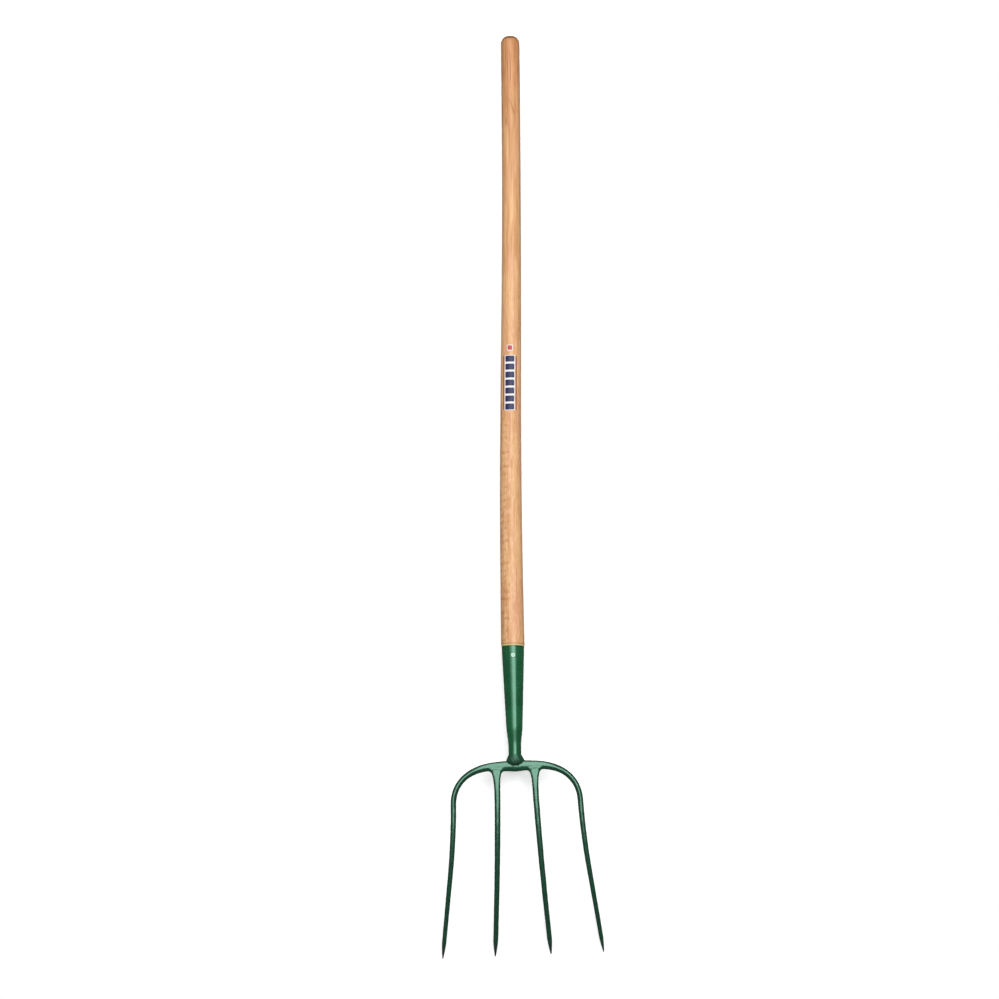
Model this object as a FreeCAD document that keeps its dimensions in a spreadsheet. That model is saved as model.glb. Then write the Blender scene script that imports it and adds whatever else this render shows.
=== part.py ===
"""Long-handled four-tine fork: a beech handle riveted into a steel socket, which is welded to a forged head.

Frame: millimetres and degrees, +Z up along the handle, +X across the tines, -Y towards the head's convex
back. The origin is on the handle's axis, half way along the parallel grip at its top end.
The socket and the head each lean a little towards +X, as they do on a fork that is put together by hand.
"""

import FreeCAD, Part
import Sketcher
import os

DIMENSIONS = {
    # Handle: 48 inches long, with a tapered foot that the socket hides.
    "handle_length": 1220.0,
    "handle_visible": 1068.0,
    "grip_dia": 32.4,
    "grip_length": 277.0,
    "dome_radius": 13.0,
    "shoulder_dia": 39.8,
    "shoulder_chamfer": 0.8,
    "foot_clearance": 0.05,
    "foot_overlap": 3.0,
    "foot_end_dia": 16.0,
    # Socket: lengths are down its own axis from its mouth.
    "mouth_gap": 0.4,
    "mouth_dia": 39.0,
    "mouth_round": 0.5,
    "land_end": 12.0,
    "land_dia": 38.4,
    "cone_end": 140.0,
    "cone_end_dia": 27.9,
    "neck_start": 164.0,
    "neck_end": 191.5,
    "neck_dia": 22.0,
    "socket_wall": 1.6,
    "neck_wall": 2.2,
    "swage_radius": 80.0,
    "socket_lean": 0.85,
    # Rivet, straight through the socket and the handle's foot.
    "rivet_drop": 16.4,
    "rivet_dia": 5.0,
    "rivet_head_dia": 8.4,
    "rivet_head_rise": 1.6,
    "rivet_head_bevel": 1.1,
    "rivet_head_sink": 0.8,
    "dimple_dia": 2.8,
    "dimple_floor_dia": 1.6,
    "dimple_depth": 0.8,
    # Head: depths are down its own axis from a point near the foot of the neck.
    "head_drop": 187.8,
    "head_lean": 2.2,
    # The crossbar and its shoulders follow a squared-off ellipse on each side of a straight middle.
    "bow_level": 13.8,
    "bow_flat": 30.0,
    "bow_reach": 106.8,
    "bow_end": 80.0,
    "bow_power": 2.3,
    "bow_height": 19.8,
    "bow_thickness": 11.5,
    "bow_taper": 1.6,
    "bow_end_dia": 9.6,
    "spigot_dia": 16.6,
    "spigot_rise": 16.0,
    # Seen from the side, the head curves away from its back along one arc.
    "dish_radius": 705.0,
    "dish_root": 4.0,
    # Tines: each turns from its root slope to its end slope over its sweep, and then runs straight.
    "tine_end": 329.0,
    "tine_thinness": 0.96,
    "point_length": 26.0,
    "point_shoulder": 0.68,
    "point_dia": 1.6,
    "outer_slope_root": 2.4,
    "outer_slope_end": 7.83,
    "outer_sweep": 115.0,
    "outer_end_dia": 7.3,
    "inner_root": 60.0,
    "inner_reach": 32.1,
    "inner_slope_root": 1.95,
    "inner_slope_end": 3.83,
    "inner_sweep": 190.0,
    "inner_dia": 10.3,
    "inner_end_dia": 8.2,
    # The inner tines widen into the crossbar, by a width that dies away with depth.
    "flare_width": 24.0,
    "flare_decay": 9.0,
    "flare_thickness": 10.6,
    # Weld round the foot of the neck.
    "weld_level": 4.5,
    "weld_width": 31.0,
    "weld_thickness": 26.0,
    "weld_height": 20.5,
    # Label on the handle.
    "label_drop": 606.0,
    "label_length": 121.0,
    "label_wrap": 108.0,
    "label_film": 0.2,
    "label_corner": 6.0,
}

# Stations round each shoulder, in degrees of its ellipse, and down each inner tine's flared root.
SHOULDER_ANGLES = (13, 26, 38, 50, 61, 71, 81, 90)
ROOT_DEPTHS = (14, 21, 29, 40)
# Equal lengths of a tine between its root and the start of its point.
TINE_SPANS = 6
# Two sizes this close, in millimetres, are the same when an edge is looked up.
SAME = 0.01

# Places above the origin, as expressions that read the sheet.
TOP = "(Dims.grip_length / 2 + Dims.dome_radius)"
SHOULDER = f"({TOP} - Dims.handle_visible)"
MOUTH = f"({SHOULDER} - Dims.mouth_gap)"
HEAD_X = "(Dims.head_drop * sin(Dims.socket_lean))"
HEAD_Z = f"({MOUTH} - Dims.head_drop * cos(Dims.socket_lean))"
RIVET_X = "(Dims.rivet_drop * sin(Dims.socket_lean))"
RIVET_Z = f"({MOUTH} - Dims.rivet_drop * cos(Dims.socket_lean))"

doc = FreeCAD.newDocument("long_handled_fork")
sheet = doc.addObject("Spreadsheet::Sheet", "Dims")
for row, (alias, value) in enumerate(DIMENSIONS.items(), start=1):
    sheet.set(f"A{row}", alias)
    sheet.set(f"B{row}", str(value))
    sheet.setAlias(f"B{row}", alias)
doc.recompute()


def value_of(expression):
    return float(sheet.evalExpression(expression))


# ---- helpers for bodies, sketches and features


def make_body(name):
    body = doc.addObject("PartDesign::Body", name)
    body.Label = name
    return body


def place(thing, lean, x, z):
    """Puts a sub-part's own origin at x, z and leans it so that its lower end moves towards +X."""
    thing.Placement = FreeCAD.Placement(FreeCAD.Vector(), FreeCAD.Rotation(FreeCAD.Vector(0, -1, 0), 1))
    thing.setExpression("Placement.Rotation.Angle", lean)
    thing.setExpression("Placement.Base.x", x)
    thing.setExpression("Placement.Base.z", z)


def make_sketch(body, name, plane, x="0", y="0", z="0", turn_axis=(0, 0, 1), turn="0"):
    """A sketch on one of the body's own planes, moved by x, y, z and turned, all in that plane's axes."""
    sketch = body.newObject("Sketcher::SketchObject", name)
    support = next(f for f in body.Origin.OriginFeatures if f.Role == plane)
    sketch.AttachmentSupport = [(support, "")]
    sketch.MapMode = "FlatFace"
    start = FreeCAD.Rotation(FreeCAD.Vector(*turn_axis), 1)
    sketch.AttachmentOffset = FreeCAD.Placement(FreeCAD.Vector(), start)
    sketch.setExpression("AttachmentOffset.Rotation.Angle", turn)
    sketch.setExpression("AttachmentOffset.Base.x", x)
    sketch.setExpression("AttachmentOffset.Base.y", y)
    sketch.setExpression("AttachmentOffset.Base.z", z)
    return sketch


def bind(sketch, kind, places, expression):
    """Adds a constraint of one size and ties the size to an expression."""
    index = sketch.addConstraint(Sketcher.Constraint(kind, *places, value_of(expression)))
    sketch.setExpression(f"Constraints[{index}]", expression)


def draw_outline(sketch, corners):
    """A closed outline of straight lines, with each corner a pair of expressions."""
    points = [FreeCAD.Vector(value_of(x), value_of(y), 0) for x, y in corners]
    for start, end in zip(points, points[1:] + points[:1]):
        sketch.addGeometry(Part.LineSegment(start, end), False)
    for i, (x, y) in enumerate(corners):
        before = (i - 1) % len(corners)
        sketch.addConstraint(Sketcher.Constraint("Coincident", before, 2, i, 1))
        bind(sketch, "DistanceX", (-1, 1, i, 1), x)
        bind(sketch, "DistanceY", (-1, 1, i, 1), y)


def draw_circle(sketch, diameter):
    circle = Part.Circle(FreeCAD.Vector(), FreeCAD.Vector(0, 0, 1), value_of(diameter) / 2)
    sketch.addGeometry(circle, False)
    sketch.addConstraint(Sketcher.Constraint("Coincident", 0, 3, -1, 1))
    bind(sketch, "Diameter", (0,), diameter)


def draw_ellipse(sketch, width, thickness):
    """An ellipse about the sketch's origin. Its width, along X, is more than its thickness."""
    major = FreeCAD.Vector(value_of(width) / 2, 0, 0)
    minor = FreeCAD.Vector(0, value_of(thickness) / 2, 0)
    sketch.addGeometry(Part.Ellipse(major, minor, FreeCAD.Vector()), False)
    sketch.exposeInternalGeometry(0)
    sketch.addConstraint(Sketcher.Constraint("Coincident", 0, 3, -1, 1))
    sketch.addConstraint(Sketcher.Constraint("Horizontal", 1))
    bind(sketch, "Distance", (1,), width)
    bind(sketch, "Distance", (2,), thickness)


def revolve(body, sketch, angle="360", midplane=False):
    """Turns a sketch about its own vertical axis."""
    feature = body.newObject("PartDesign::Revolution", f"{sketch.Name}_turned")
    feature.Profile = sketch
    feature.ReferenceAxis = (sketch, ["V_Axis"])
    feature.setExpression("Angle", angle)
    feature.Midplane = midplane
    return feature


def loft(body, name, sections):
    feature = body.newObject("PartDesign::AdditiveLoft", name)
    feature.Profile = sections[0]
    feature.Sections = sections[1:]
    return feature


def drill(body, x, z, diameter):
    """A hole right through the body along Y."""
    sketch = make_sketch(body, f"{body.Name}_hole_circle", "XZ_Plane", x=x, y=z)
    draw_circle(sketch, diameter)
    hole = body.newObject("PartDesign::Pocket", f"{body.Name}_hole")
    hole.Profile = sketch
    hole.Type = "ThroughAll"
    hole.Midplane = True


def ring_edges(shape, diameter, z):
    """The names of the circular edges of one diameter at one height of an upright turned shape."""
    found = []
    for number, edge in enumerate(shape.Edges, start=1):
        curve = edge.Curve
        if not isinstance(curve, Part.Circle):
            continue
        if abs(2 * curve.Radius - diameter) < SAME and abs(curve.Center.z - z) < SAME:
            found.append(f"Edge{number}")
    return found


def fillet(body, base, edges, radius):
    feature = body.newObject("PartDesign::Fillet", f"{base.Name}_rounded_{len(body.Group)}")
    feature.Base = (base, edges)
    feature.setExpression("Radius", radius)
    doc.recompute()
    return feature


# ---- the handle, the socket, the rivet and the label


def handle_radius(z):
    """The shaft's radius at a height z: parallel through the grip, then a straight taper to the shoulder."""
    taper_top = "-Dims.grip_length / 2"
    share = f"({taper_top} - {z}) / ({taper_top} - ({SHOULDER} + Dims.shoulder_chamfer))"
    return f"(Dims.grip_dia / 2 + (Dims.shoulder_dia - Dims.grip_dia) / 2 * {share})"


def make_handle():
    body = make_body("handle")
    shaft = make_sketch(body, "shaft_profile", "XZ_Plane")
    corners = [
        ("0", TOP),
        ("Dims.grip_dia / 2", TOP),
        ("Dims.grip_dia / 2", "-Dims.grip_length / 2"),
        ("Dims.shoulder_dia / 2", f"{SHOULDER} + Dims.shoulder_chamfer"),
        ("Dims.shoulder_dia / 2 - Dims.shoulder_chamfer", SHOULDER),
        ("0", SHOULDER),
    ]
    draw_outline(shaft, corners)
    turned = revolve(body, shaft)
    doc.recompute()
    rim = ring_edges(turned.Shape, value_of("Dims.grip_dia"), value_of(TOP))
    fillet(body, turned, rim, "Dims.dome_radius")

    foot = make_sketch(body, "foot_profile", "XZ_Plane", y=MOUTH, turn="Dims.socket_lean")
    corners = [
        ("0", "Dims.foot_overlap"),
        ("Dims.mouth_dia / 2 - Dims.socket_wall - Dims.foot_clearance", "Dims.foot_overlap"),
        ("Dims.mouth_dia / 2 - Dims.socket_wall - Dims.foot_clearance", "0"),
        ("Dims.land_dia / 2 - Dims.socket_wall - Dims.foot_clearance", "-Dims.land_end"),
        ("Dims.cone_end_dia / 2 - Dims.socket_wall - Dims.foot_clearance", "-Dims.cone_end"),
        ("Dims.foot_end_dia / 2", "Dims.handle_visible + Dims.mouth_gap - Dims.handle_length"),
        ("0", "Dims.handle_visible + Dims.mouth_gap - Dims.handle_length"),
    ]
    draw_outline(foot, corners)
    revolve(body, foot)
    drill(body, RIVET_X, RIVET_Z, "Dims.rivet_dia")
    return body


def make_socket():
    """A rolled tube, swaged down to a neck. Its own origin is at the centre of its mouth."""
    body = make_body("socket")
    wall = make_sketch(body, "socket_wall_profile", "XZ_Plane")
    corners = [
        ("Dims.mouth_dia / 2", "0"),
        ("Dims.land_dia / 2", "-Dims.land_end"),
        ("Dims.cone_end_dia / 2", "-Dims.cone_end"),
        ("Dims.neck_dia / 2", "-Dims.neck_start"),
        ("Dims.neck_dia / 2", "-Dims.neck_end"),
        ("Dims.neck_dia / 2 - Dims.neck_wall", "-Dims.neck_end"),
        ("Dims.neck_dia / 2 - Dims.neck_wall", "-Dims.neck_start"),
        ("Dims.cone_end_dia / 2 - Dims.socket_wall", "-Dims.cone_end"),
        ("Dims.land_dia / 2 - Dims.socket_wall", "-Dims.land_end"),
        ("Dims.mouth_dia / 2 - Dims.socket_wall", "0"),
    ]
    draw_outline(wall, corners)
    turned = revolve(body, wall)
    doc.recompute()
    shape = turned.Shape
    swages = ring_edges(shape, value_of("Dims.cone_end_dia"), -value_of("Dims.cone_end"))
    swages += ring_edges(shape, value_of("Dims.neck_dia"), -value_of("Dims.neck_start"))
    swaged = fillet(body, turned, swages, "Dims.swage_radius")
    fillet(body, swaged, ring_edges(swaged.Shape, value_of("Dims.mouth_dia"), 0), "Dims.mouth_round")
    drill(body, "0", "-Dims.rivet_drop", "Dims.rivet_dia")
    place(body, "Dims.socket_lean", "0", MOUTH)
    return body


def make_rivet(socket):
    """Turned about Y, then cut by the socket so that both heads sit down on its round wall."""
    blank = make_body("rivet_blank")
    profile = make_sketch(blank, "rivet_profile", "XY_Plane")
    share = "(Dims.rivet_drop - Dims.land_end) / (Dims.cone_end - Dims.land_end)"
    surface = f"(Dims.land_dia / 2 - (Dims.land_dia - Dims.cone_end_dia) / 2 * {share})"
    corners = [
        ("0", f"Dims.dimple_depth - Dims.rivet_head_rise - {surface}"),
        ("Dims.dimple_floor_dia / 2", f"Dims.dimple_depth - Dims.rivet_head_rise - {surface}"),
        ("Dims.dimple_dia / 2", f"-Dims.rivet_head_rise - {surface}"),
        ("Dims.rivet_head_dia / 2 - Dims.rivet_head_bevel", f"-Dims.rivet_head_rise - {surface}"),
        ("Dims.rivet_head_dia / 2", f"Dims.rivet_head_bevel - Dims.rivet_head_rise - {surface}"),
        ("Dims.rivet_head_dia / 2", f"Dims.rivet_head_sink - {surface}"),
        ("Dims.rivet_dia / 2", f"Dims.rivet_head_sink - {surface}"),
        ("Dims.rivet_dia / 2", f"{surface} - Dims.rivet_head_sink"),
        ("Dims.rivet_head_dia / 2", f"{surface} - Dims.rivet_head_sink"),
        ("Dims.rivet_head_dia / 2", f"{surface} + Dims.rivet_head_rise - Dims.rivet_head_bevel"),
        ("Dims.rivet_head_dia / 2 - Dims.rivet_head_bevel", f"{surface} + Dims.rivet_head_rise"),
        ("0", f"{surface} + Dims.rivet_head_rise"),
    ]
    draw_outline(profile, corners)
    revolve(blank, profile)
    place(blank, "Dims.socket_lean", RIVET_X, RIVET_Z)
    rivet = doc.addObject("Part::Cut", "rivet")
    rivet.Base = blank
    rivet.Tool = socket
    return rivet


def make_label():
    """A thin film with round corners, wrapped round the front of the handle."""
    top = f"({TOP} - Dims.label_drop + Dims.label_length / 2)"
    foot = f"({TOP} - Dims.label_drop - Dims.label_length / 2)"
    film = make_body("label_film")
    profile = make_sketch(film, "label_film_profile", "YZ_Plane")
    corners = [
        (f"-{handle_radius(top)}", top),
        (f"-{handle_radius(top)} - Dims.label_film", top),
        (f"-{handle_radius(foot)} - Dims.label_film", foot),
        (f"-{handle_radius(foot)}", foot),
    ]
    draw_outline(profile, corners)
    revolve(film, profile, "Dims.label_wrap", midplane=True)

    outline = make_body("label_outline")
    rectangle = make_sketch(outline, "label_rectangle", "XZ_Plane")
    half_width = f"({handle_radius(top)} * sin(Dims.label_wrap / 2))"
    corners = [(f"-{half_width}", foot), (half_width, foot), (half_width, top), (f"-{half_width}", top)]
    draw_outline(rectangle, corners)
    pad = outline.newObject("PartDesign::Pad", "label_block")
    pad.Profile = rectangle
    pad.setExpression("Length", "Dims.shoulder_dia")
    doc.recompute()
    length = value_of("Dims.shoulder_dia")
    numbered = enumerate(pad.Shape.Edges, start=1)
    corner_edges = [f"Edge{number}" for number, edge in numbered if abs(edge.Length - length) < SAME]
    fillet(outline, pad, corner_edges, "Dims.label_corner")

    label = doc.addObject("Part::Common", "handle_label")
    label.Base = film
    label.Tool = outline
    return label


# ---- the head


def dish(depth):
    """How far the head has curved away from its back, along Y, at a depth below its origin."""
    lean = f"(({depth} - Dims.bow_level) / Dims.dish_radius - sin(Dims.dish_root))"
    return f"(Dims.dish_radius * (cos(Dims.dish_root) - sqrt(1 - {lean} ^ 2)))"


def bow_size(middle, end, x):
    """A size of the crossbar's section, which shrinks from its middle to its end."""
    return f"({end} + ({middle} - {end}) * (1 - {x} / Dims.bow_reach) ^ Dims.bow_taper)"


def bow_section(body, name, side, x, depth, turn):
    """One section of the crossbar, at x on the side given by its sign. turn is 90 where the bar is level."""
    angle = turn if side > 0 else f"180 deg - {turn}"
    centre = (f"{side} * {x}", dish(depth), f"-{depth}")
    sketch = make_sketch(body, name, "XY_Plane", *centre, turn_axis=(0, -1, 0), turn=angle)
    height = bow_size("Dims.bow_height", "Dims.bow_end_dia", x)
    thickness = bow_size("Dims.bow_thickness", "Dims.bow_end_dia * Dims.tine_thinness", x)
    draw_ellipse(sketch, height, thickness)
    return sketch


def shoulder_section(body, side, angle):
    """A section at one angle round a shoulder's squared-off ellipse."""
    span = "(Dims.bow_reach - Dims.bow_flat)"
    fall = "(Dims.bow_end - Dims.bow_level)"
    x = f"(Dims.bow_flat + {span} * sin({angle}) ^ (2 / Dims.bow_power))"
    depth = f"(Dims.bow_end - {fall} * cos({angle}) ^ (2 / Dims.bow_power))"
    turn = f"atan({span} / {fall} * (cos({angle}) / sin({angle})) ^ (2 - 2 / Dims.bow_power))"
    name = f"shoulder_{'right' if side > 0 else 'left'}_{angle}"
    return bow_section(body, name, side, x, depth, turn)


def inner_width(depth):
    """An inner tine's width above its root, where it widens into the crossbar."""
    fade = f"exp((Dims.bow_level - {depth}) / Dims.flare_decay)"
    return f"(Dims.inner_dia + Dims.flare_width * {fade})"


def root_sections(body, side):
    """Sections of the flared root of one inner tine, from inside the crossbar down to the tine."""
    sections = []
    for depth in (*ROOT_DEPTHS, "Dims.inner_root"):
        name = f"root_{'right' if side > 0 else 'left'}_{len(sections)}"
        x = f"{side} * Dims.inner_reach"
        sketch = make_sketch(body, name, "XY_Plane", x, dish(depth), f"-{depth}")
        thickness = "Dims.flare_thickness"
        if depth == "Dims.inner_root":
            thickness = f"{inner_width(depth)} * Dims.tine_thinness"
        draw_ellipse(sketch, inner_width(depth), thickness)
        sections.append(sketch)
    return sections


def make_crossbar():
    """The forged bar with its two shoulders, the roots of the inner tines and the spigot inside the neck."""
    body = make_body("crossbar")
    left = [shoulder_section(body, -1, angle) for angle in reversed(SHOULDER_ANGLES)]
    right = [shoulder_section(body, 1, angle) for angle in SHOULDER_ANGLES]
    middle = [
        bow_section(body, "middle_left", -1, "Dims.bow_flat", "Dims.bow_level", "90 deg"),
        bow_section(body, "middle", 1, "0", "Dims.bow_level", "90 deg"),
        bow_section(body, "middle_right", 1, "Dims.bow_flat", "Dims.bow_level", "90 deg"),
    ]
    loft(body, "bow", left + middle + right)
    loft(body, "root_left", root_sections(body, -1))
    loft(body, "root_right", root_sections(body, 1))
    circle = make_sketch(body, "spigot_circle", "XY_Plane", z="-Dims.bow_level")
    draw_circle(circle, "Dims.spigot_dia")
    spigot = body.newObject("PartDesign::Pad", "spigot")
    spigot.Profile = circle
    spigot.setExpression("Length", "Dims.bow_level + Dims.spigot_rise")
    place(body, "Dims.head_lean", HEAD_X, HEAD_Z)
    return body


def make_tine(name, side, reach, root, root_dia, end_dia, slope_root, slope_end, sweep):
    """A tapered, curved bar from a root depth down to its point, on the side given by its sign."""
    body = make_body(name)
    point_start = "(Dims.tine_end - Dims.point_length)"
    stations = []
    for step in range(TINE_SPANS + 1):
        depth = f"({root} + ({point_start} - {root}) * {step} / {TINE_SPANS})"
        width = f"({root_dia} + ({end_dia} - {root_dia}) * {step} / {TINE_SPANS})"
        stations.append((depth, width))
    stations.append((f"({point_start} + Dims.point_length / 2)", f"({end_dia} * Dims.point_shoulder)"))
    stations.append(("Dims.tine_end", "Dims.point_dia"))
    sections = []
    for depth, width in stations:
        along = f"({depth} - {root})"
        gain = f"(tan({slope_end}) - tan({slope_root}))"
        bend = f"{gain} * (min({along}; {sweep}) ^ 2 / (2 * {sweep}) + max(0; {along} - {sweep}))"
        x = f"{side} * ({reach} + tan({slope_root}) * {along} + {bend})"
        sketch = make_sketch(body, f"{name}_{len(sections)}", "XY_Plane", x, dish(depth), f"-{depth}")
        draw_ellipse(sketch, width, f"{width} * Dims.tine_thinness")
        sections.append(sketch)
    loft(body, f"{name}_bar", sections)
    place(body, "Dims.head_lean", HEAD_X, HEAD_Z)
    return body


def make_outer_tine(name, side):
    slopes = ("Dims.outer_slope_root", "Dims.outer_slope_end", "Dims.outer_sweep")
    return make_tine(
        name, side, "Dims.bow_reach", "Dims.bow_end", "Dims.bow_end_dia", "Dims.outer_end_dia", *slopes
    )


def make_inner_tine(name, side):
    slopes = ("Dims.inner_slope_root", "Dims.inner_slope_end", "Dims.inner_sweep")
    sizes = (inner_width("Dims.inner_root"), "Dims.inner_end_dia")
    return make_tine(name, side, "Dims.inner_reach", "Dims.inner_root", *sizes, *slopes)


def make_weld(crossbar, socket):
    """Weld metal round the neck's foot, lapping down over the front and back of the crossbar."""
    blank = doc.addObject("Part::Ellipsoid", "weld_blank")
    blank.setExpression("Radius1", "Dims.weld_height / 2")
    blank.setExpression("Radius2", "Dims.weld_width / 2")
    blank.setExpression("Radius3", "Dims.weld_thickness / 2")
    blank.Angle1 = -90
    x = f"{HEAD_X} + Dims.weld_level * sin(Dims.head_lean)"
    z = f"{HEAD_Z} - Dims.weld_level * cos(Dims.head_lean)"
    place(blank, "Dims.head_lean", x, z)
    joined = doc.addObject("Part::Fuse", "neck_and_crossbar")
    joined.Base = crossbar
    joined.Tool = socket
    weld = doc.addObject("Part::Cut", "neck_weld")
    weld.Base = blank
    weld.Tool = joined
    return weld


handle = make_handle()
socket = make_socket()
rivet = make_rivet(socket)
crossbar = make_crossbar()
weld = make_weld(crossbar, socket)
nodes = [
    handle,
    make_label(),
    socket,
    rivet,
    weld,
    crossbar,
    make_outer_tine("tine_outer_left", -1),
    make_inner_tine("tine_inner_left", -1),
    make_inner_tine("tine_inner_right", 1),
    make_outer_tine("tine_outer_right", 1),
]
doc.recompute()

faults = [item.Name for item in doc.Objects if "Invalid" in item.State or "Error" in item.State]
faults += [node.Label for node in nodes if node.Shape.isNull() or not node.Shape.isValid()]
faults += [node.Label for node in nodes if len(node.Shape.Solids) != 1]
if faults:
    raise SystemExit(f"these objects failed: {faults}")

os.makedirs("parts", exist_ok=True)
for node in nodes:
    box = node.Shape.BoundBox
    node.Shape.exportStep(f"parts/{node.Label}.step")
    print(f"{node.Label}: {node.Shape.Volume:.0f} mm3, z {box.ZMin:.1f} to {box.ZMax:.1f}")
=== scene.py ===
"""Looks for the long-handled four-tine fork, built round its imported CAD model.

Sizes are in millimetres until a mesh is made; Blender's own units are metres.
Three frames are used: the row frame, the socket's (down its own axis from its mouth) and the head's
(u across, v down from the foot of the neck, y away from the convex back).
"""

import math

import bmesh
import bpy
import numpy as np
from mathutils import Matrix, Vector


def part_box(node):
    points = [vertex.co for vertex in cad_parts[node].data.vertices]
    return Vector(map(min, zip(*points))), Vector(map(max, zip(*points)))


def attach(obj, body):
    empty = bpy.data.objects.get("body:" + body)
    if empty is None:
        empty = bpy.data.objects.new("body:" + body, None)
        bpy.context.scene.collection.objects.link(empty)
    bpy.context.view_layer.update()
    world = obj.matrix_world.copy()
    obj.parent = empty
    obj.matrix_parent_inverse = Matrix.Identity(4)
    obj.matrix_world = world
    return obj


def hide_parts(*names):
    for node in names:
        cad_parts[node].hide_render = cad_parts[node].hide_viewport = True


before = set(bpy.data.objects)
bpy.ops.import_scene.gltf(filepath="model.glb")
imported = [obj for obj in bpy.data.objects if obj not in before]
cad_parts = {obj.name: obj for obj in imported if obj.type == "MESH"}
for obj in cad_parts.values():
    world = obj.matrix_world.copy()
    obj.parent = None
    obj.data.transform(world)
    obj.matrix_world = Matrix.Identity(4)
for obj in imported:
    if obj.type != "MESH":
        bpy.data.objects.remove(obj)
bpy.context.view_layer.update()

MM = 0.001
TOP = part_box("handle")[1].z / MM
LOWEST = min(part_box(name)[0].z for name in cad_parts)

# Handle
VISIBLE = 1068.0
SHOULDER = TOP - VISIBLE
MOUTH = SHOULDER - 0.4
GRIP_RADIUS, DOME_RADIUS = 16.2, 13.0
GRIP_END = TOP - 290.0
SHOULDER_RADIUS, SHOULDER_CHAMFER = 19.9, 0.8
FOOT_START, FOOT_END, FOOT_END_RADIUS, FOOT_CLEARANCE = 0.2, 151.6, 8.0, 0.05
BOW = (-0.69, 1.64, -0.19)  # the sizes of one, two and three half waves along the visible length

# Socket: depths are from its mouth
SOCKET_LEAN = math.radians(0.85)
WALL = 1.6
MOUTH_RADIUS, MOUTH_FACE, MOUTH_ROUND = 19.5, 18.4, 0.45
LAND_END, LAND_RADIUS, LAND_BLEND = 12.0, 19.2, 200
CONE_END, CONE_END_RADIUS = 140.0, 13.95
NECK_START, NECK_END, NECK_RADIUS, NECK_BORE = 164.0, 191.5, 11.0, 8.8
SWAGE_BLEND = 80
RIVET_DROP, SHANK_RADIUS, RIVET_HEAD = 16.4, 2.5, 4.2

# Head: the bar's centreline is level to FLAT, then bends round a shoulder that ends REACH out and BOW_END down
HEAD_LEAN = math.radians(2.2)
HEAD_DROP = 187.8
LEVEL, FLAT, REACH, BOW_END = 13.8, 30.0, 106.8, 80.0
SQUARING = 2.3
BAR_HEIGHT, BAR_THICKNESS, BAR_TAPER = 19.8, 11.5, 1.6
DISH_RADIUS = 705.0
DISH_ROOT = math.radians(4)
INNER_REACH, INNER_ROOT = 32.1, 60.0
TINE_END, POINT, TIP_ROUND = 329.0, 26.0, 0.7
OUTER_SIZES, INNER_SIZES = (9.6, 7.3), (10.3, 8.2)  # at the root and where the point starts
OUTER_SLOPES, INNER_SLOPES = (2.4, 7.83, 115.0), (1.95, 3.83, 190.0)  # degrees at the root and end, and the length
EASE = 16.0  # half the length over which a tine's slope starts
THINNESS = 0.96
ROUND_POWER = 2.1  # the squareness of a nearly round section
FILLET = 5.0
SPIGOT_RADIUS, SPIGOT_TOP = 8.3, -16.0
HAMMER_DEPTH = 0.06
BETWEEN_TINES = 70  # across, anywhere between an inner tine and an outer one


# ---- frames


def along(origin, lean):
    """A function that takes points across, back and down a leaning sub-frame to the row frame, all in millimetres."""
    across = np.array([math.cos(lean), 0.0, math.sin(lean)])
    back = np.array([0.0, 1.0, 0.0])
    down = np.array([math.sin(lean), 0.0, -math.cos(lean)])

    def to_row(points):
        points = np.asarray(points, float)
        return origin + points[..., :1] * across + points[..., 1:2] * back + points[..., 2:3] * down

    return to_row


from_socket = along(np.array([0.0, 0.0, MOUTH]), SOCKET_LEAN)
from_head = along(from_socket([0.0, 0.0, HEAD_DROP]), HEAD_LEAN)


def handle_centre(z):
    """The handle's slight natural bow: how far its centre is towards +X at each height."""
    share = np.clip((TOP - z) / VISIBLE, 0, 1)
    return sum(size * np.sin(math.pi * (k + 1) * share) for k, size in enumerate(BOW))


def handle_radius(z):
    share = np.clip((GRIP_END - z) / (GRIP_END - SHOULDER), 0, 1)
    return GRIP_RADIUS + (SHOULDER_RADIUS - GRIP_RADIUS) * share


# ---- helpers for profiles and meshes


def circle(count):
    """The cosines and sines of points round a circle."""
    turns = np.linspace(0, 2 * math.pi, count, endpoint=False)
    return np.cos(turns), np.sin(turns)


def rounded(corners, steps=8):
    """A polyline through corners of (x, y, radius), with an arc of that radius in place of each corner."""
    made = []
    for i, (x, y, radius) in enumerate(corners):
        here = np.array([x, y])
        if radius == 0 or i in (0, len(corners) - 1):
            made.append(here)
            continue
        before = np.array(corners[i - 1][:2]) - here
        after = np.array(corners[i + 1][:2]) - here
        before /= np.linalg.norm(before)
        after /= np.linalg.norm(after)
        half = math.acos(np.clip(before @ after, -1, 1)) / 2
        middle = before + after
        centre = here + middle / np.linalg.norm(middle) * radius / math.sin(half)
        start = here + before * radius / math.tan(half) - centre
        end = here + after * radius / math.tan(half) - centre
        turn = math.pi - 2 * half
        for k in range(steps + 1):
            a = math.sin((1 - k / steps) * turn) / math.sin(turn)
            b = math.sin(k / steps * turn) / math.sin(turn)
            made.append(centre + a * start + b * end)
    return np.array(made)


def divided(profile, step):
    """The same polyline with no run longer than step."""
    made = [profile[0]]
    for start, end in zip(profile[:-1], profile[1:]):
        pieces = max(1, math.ceil(np.linalg.norm(end - start) / step))
        made += [start + (end - start) * k / pieces for k in range(1, pieces + 1)]
    return np.array(made)


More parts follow.
